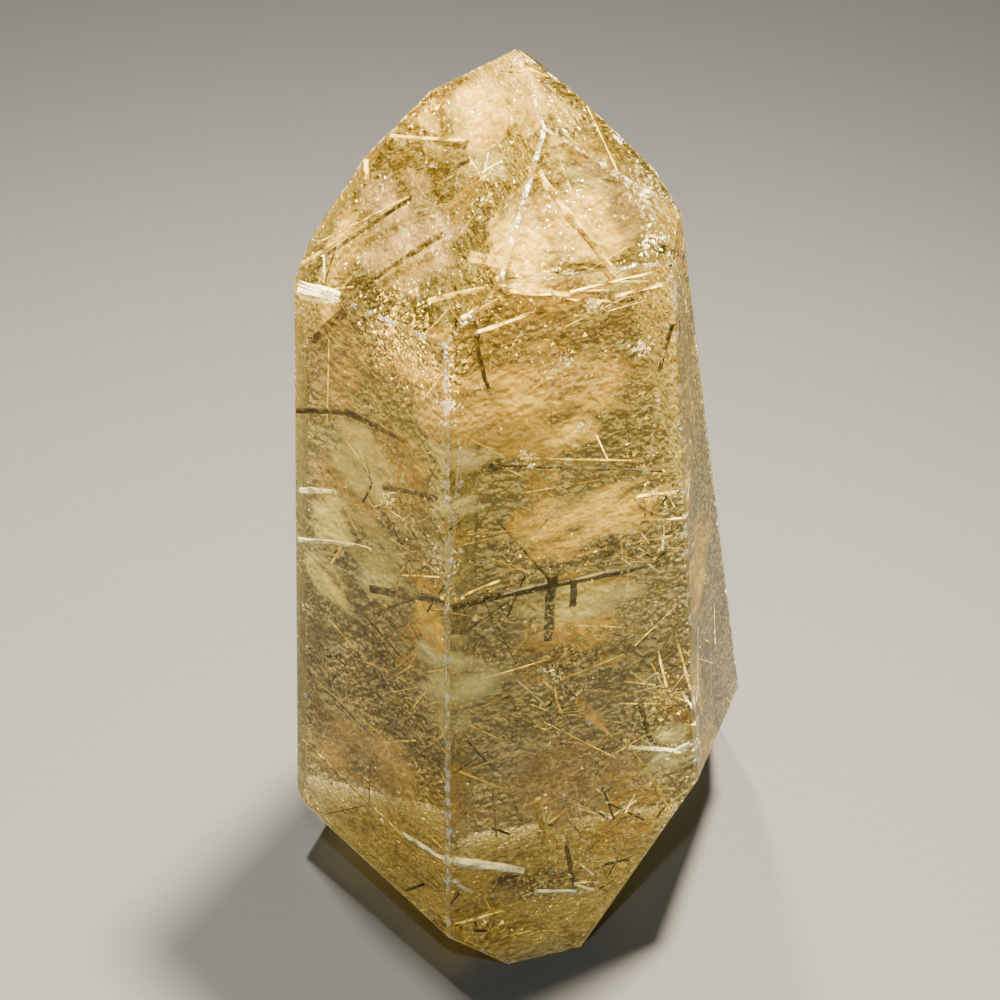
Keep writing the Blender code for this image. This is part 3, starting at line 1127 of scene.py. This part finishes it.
def veil_finish():
    finish = Finish("milky_veil")
    fade = finish.node("ShaderNodeAttribute", {"attribute_name": "fade"}, output="Fac")
    kind = finish.node("ShaderNodeAttribute", {"attribute_name": "kind"}, output="Fac")
    wisps = finish.cloudiness(VEIL_WISP_SCALE, 5.0, VEIL_WISP_STRETCH)
    body = fade * VEIL_BODY + wisps * VEIL_WISPINESS - VEIL_THINNESS
    patches = finish.ramp(body, (0.56, BLACK), (0.95, WHITE))
    tone = finish.ramp(kind, *VEIL_TONES)
    amber = finish.ramp(finish.cloudiness(VEIL_AMBER_SCALE, 3.0), (0.40, WHITE), (0.55, BLACK))
    tone = finish.blend(amber * (1.0 - kind) * VEIL_AMBER_SHARE, tone, AMBER_TONE)
    tone = finish.blend(sparks(finish), tone, SPARK_TONE)
    crumpled = finish.cloudiness(VEIL_CRUMPLE_SCALE, 1.0)
    sockets = {"Color": tone, "Normal": finish.bump(crumpled, 1.0, VEIL_CRUMPLE_DEPTH)}
    front = finish.node("ShaderNodeBsdfDiffuse", {}, sockets)
    through = finish.node("ShaderNodeBsdfTranslucent", {}, sockets)
    milk = finish.node("ShaderNodeMixShader", {}, [0.5, front, through])
    clear = finish.node("ShaderNodeBsdfTransparent")
    veil = finish.node("ShaderNodeMixShader", {}, [patches, clear, milk])
    lamp = finish.node("ShaderNodeLightPath", output="Is Shadow Ray")
    return finish.surface(finish.node("ShaderNodeMixShader", {}, [lamp, veil, clear]))


veils = Heap()
for pixel, depth, size, bearing, lean, kind in VEILS.values():
    add_veil(veils, inside(pixel, depth), size, bearing, lean, kind)
add_back_veils(veils, BACK_VEIL_COUNT, random.Random(VEIL_SEED))
grown_inside(veils, "milky_veils", veil_finish())

# %% [markdown]
# ## Crumbs on the edges
#
# Where an edge is bruised, crushed quartz stays in it as a white beaded line. It is brightest
# down the front ridge. The crumbs are the same small flakes, sunk in the worn faces.

# %% Lay the crumbs
CRUMB_SEED = 43
CRUMB_GAP = 0.42 * MM
RIDGE_CRUMB_GAP = 0.15 * MM
CRUMB_SIZES = (0.03, 0.10)
CRUMB_SINK = 0.8
CRUMB_COVER = 0.06 * MM


def add_crumbs(heap, chance):
    for start, end, out in worn_lines:
        gap = RIDGE_CRUMB_GAP if on_front_ridge(start, end) else CRUMB_GAP
        for _ in range(int((end - start).length / gap)):
            size = flake_size(chance, *CRUMB_SIZES)
            under = out * (size * CRUMB_SINK + CRUMB_COVER)
            add_flake(heap, start.lerp(end, chance.random()) - under, size, chance)


crumbs = Heap()
add_crumbs(crumbs, random.Random(CRUMB_SEED))
grown_inside(crumbs, "edge_crumbs", WHITE_FINISH)

# %% [markdown]
# ## The table
#
# The stone stands on a plain pale sheet. The sheet lies a hair's breadth under the base, because
# two faces in one plane would show as a dark patch through the clear foot.

# %% Lay the sheet
FLOOR_SIZE = 3.0
FLOOR_TONE = (0.077, 0.075, 0.069, 1.0)
FLOOR_GAP = 0.05 * MM
TOOTH_SCALE = 700.0
TOOTH_DEPTH = 0.2 * MM


def floor_finish():
    finish = Finish("pale_sheet")
    tooth = finish.cloudiness(TOOTH_SCALE, 2.0)
    sockets = {
        "Base Color": FLOOR_TONE,
        "Roughness": tooth * 0.1 + 0.5,
        "Normal": finish.bump(tooth, 0.15, TOOTH_DEPTH),
    }
    return finish.surface(finish.node("ShaderNodeBsdfPrincipled", {}, sockets))


sheet = bmesh.new()
bmesh.ops.create_grid(sheet, x_segments=1, y_segments=1, size=FLOOR_SIZE / 2)
bmesh.ops.translate(sheet, verts=sheet.verts[:], vec=(0.0, 0.0, -FLOOR_GAP))
floor = piece_from(sheet, "pale_sheet", floor_finish())
print("sheet is", FLOOR_SIZE, "m wide")

# %% [markdown]
# ## The light and the camera
#
# A strong warm lamp hangs high behind the stone on the right and makes it glow. Its narrow pool
# of light darkens the sheet towards the picture's top. A weaker pale lamp hangs behind on the
# left and draws the other half of the shadow, and a weak cool one in front lightens the near
# facets. Multiple importance sampling is off for them, because light that the glass throws into
# its own shadow would stay blotchy in a short render.

# %% Hang the lamps and aim the camera
WARM = (1.0, 0.89, 0.70)
PALE = (1.0, 0.95, 0.86)
COOL = (0.84, 0.95, 1.0)
POOL = math.radians(28.0)
WIDE = math.radians(100.0)
ROOM_TONE = (0.74, 0.85, 0.92, 1.0)
ROOM_STRENGTH = 0.08
SENSOR_WIDTH = 36.0

# name: place and aim in metres, colour, watts, radius in metres, width of the cone
LAMPS = {
    "warm_right": ((0.130, 0.113, 0.70), (-0.015, -0.012, 0.0), WARM, 180.0, 0.045, POOL),
    "pale_left": ((-0.087, 0.091, 0.70), (0.0, 0.0, 0.0), PALE, 46.0, 0.02, WIDE),
    "cool_front": ((0.0, -0.47, 0.65), (0.0, -0.03, 0.0), COOL, 13.0, 0.012, WIDE),
}


def add_lamp(name, place, target, colour, power, radius, cone):
    data = bpy.data.lights.new(name, "SPOT")
    data.color = colour
    data.energy = power
    data.shadow_soft_size = radius
    data.spot_size = cone
    data.spot_blend = 1.0
    data.cycles.use_multiple_importance_sampling = False
    lamp = bpy.data.objects.new(name, data)
    lamp.location = place
    lamp.rotation_euler = (Vector(target) - Vector(place)).to_track_quat("-Z", "Y").to_euler()
    bpy.context.scene.collection.objects.link(lamp)


for name, settings in LAMPS.items():
    add_lamp(name, *settings)
world = bpy.data.worlds.new("soft_room")
world.use_nodes = True
world.node_tree.nodes["Background"].inputs["Color"].default_value = ROOM_TONE
world.node_tree.nodes["Background"].inputs["Strength"].default_value = ROOM_STRENGTH
bpy.context.scene.world = world

camera_data = bpy.data.cameras.new("eye")
camera_data.sensor_width = SENSOR_WIDTH
camera_data.lens = SENSOR_WIDTH * FOCAL_PIXELS / (2.0 * MIDDLE_PIXEL)
camera = bpy.data.objects.new("eye", camera_data)
camera.location = EYE
camera.rotation_euler = (math.pi / 2 - DIP, 0.0, 0.0)
bpy.context.scene.collection.objects.link(camera)
bpy.context.scene.camera = camera
print(len(LAMPS), "lamps, and a camera with a lens of", round(camera_data.lens), "mm")
